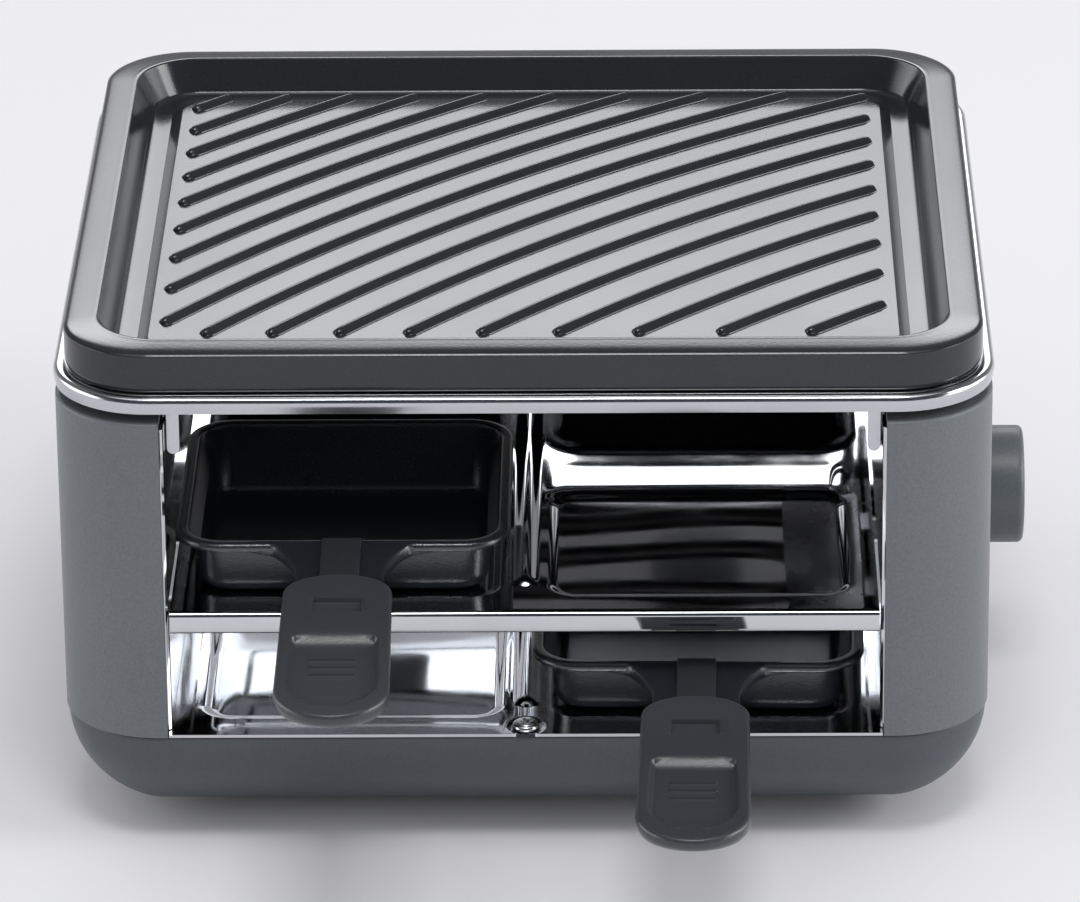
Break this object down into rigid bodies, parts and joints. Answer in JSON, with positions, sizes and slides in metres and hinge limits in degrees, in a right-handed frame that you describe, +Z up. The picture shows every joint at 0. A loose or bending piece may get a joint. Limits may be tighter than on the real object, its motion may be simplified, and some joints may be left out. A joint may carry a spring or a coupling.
{
  "type": "raclette grill",
  "caption": "Tabletop raclette grill: ribbed plate on a steel band, heating element below it, pans with handles on two polished shelves, side housings with a knob.",
  "frame": {"origin": "middle of the whole footprint, on the plane the feet stand on", "axes": "+Z up, -Y towards the front with the two front pans' handles, +X towards the side with the knob"},
  "size_m": [0.2526, 0.3818, 0.14],
  "materials": {
    "base_plastic": "satin dark grey",
    "housing_plastic": "satin grey",
    "foot_rubber": "matt black",
    "polished_steel": "mirror polished",
    "band_steel": "bright polished",
    "plate_coating": "dark semi-gloss non-stick coating",
    "pan_coating": "black non-stick coating",
    "strap_coating": "black coating",
    "handle_plastic": "fine-grained black",
    "tube_steel": "dark oxidised",
    "bracket_steel": "plain sheet",
    "thermostat_resin": "matt",
    "screw_steel": "bright plated",
    "knob_plastic": "fine-grained grey"
  },
  "bodies": {
    "housing": {"base_housing": "base_plastic", "foot_1": "foot_rubber", "foot_2": "foot_rubber", "foot_3": "foot_rubber", "foot_4": "foot_rubber", "side_housing_left": "housing_plastic", "side_housing_right": "housing_plastic", "cable_gland": "foot_rubber", "inner_wall_left": "polished_steel", "inner_wall_right": "polished_steel", "lower_tray": "polished_steel", "tray_screw_front": "screw_steel", "tray_screw_rear": "screw_steel", "middle_shelf": "polished_steel", "element_bracket_left": "bracket_steel", "element_bracket_right": "bracket_steel", "heating_element": "tube_steel", "top_frame": "band_steel", "thermostat_body": "thermostat_resin", "thermostat_nut": "screw_steel"},
    "plate": {"grill_plate": "plate_coating"},
    "knob": {"control_knob": "knob_plastic", "thermostat_shaft": "screw_steel"},
    "pan_unit_1": {"pan_1": "pan_coating", "pan_strap_1": "strap_coating", "pan_handle_1": "handle_plastic"},
    "pan_unit_2": {"pan_2": "pan_coating", "pan_strap_2": "strap_coating", "pan_handle_2": "handle_plastic"},
    "pan_unit_3": {"pan_3": "pan_coating", "pan_strap_3": "strap_coating", "pan_handle_3": "handle_plastic"},
    "pan_unit_4": {"pan_4": "pan_coating", "pan_strap_4": "strap_coating", "pan_handle_4": "handle_plastic"}
  },
  "joints": [
    {"name": "knob_turn", "type": "hinge", "parent": "housing", "child": "knob", "pos_m": [0.1134, 0, 0.0544], "axis": [-1, 0, 0], "range_deg": [0, 270]},
    {"name": "plate_lift", "type": "slide", "parent": "housing", "child": "plate", "axis": [0, 0, 1], "range_m": [0, 0.06]},
    {"name": "pan_1_draw", "type": "slide", "parent": "housing", "child": "pan_unit_1", "axis": [0, -0.9914, 0.1305], "range_m": [0, 0.12]},
    {"name": "pan_2_draw", "type": "slide", "parent": "housing", "child": "pan_unit_2", "axis": [-0.0208, -0.9912, 0.1305], "range_m": [0, 0.12]},
    {"name": "pan_3_draw", "type": "slide", "parent": "housing", "child": "pan_unit_3", "axis": [0, 0.9914, 0.1305], "range_m": [0, 0.12]},
    {"name": "pan_4_draw", "type": "slide", "parent": "housing", "child": "pan_unit_4", "axis": [0, 0.9914, 0.1305], "range_m": [0, 0.12]}
  ]
}
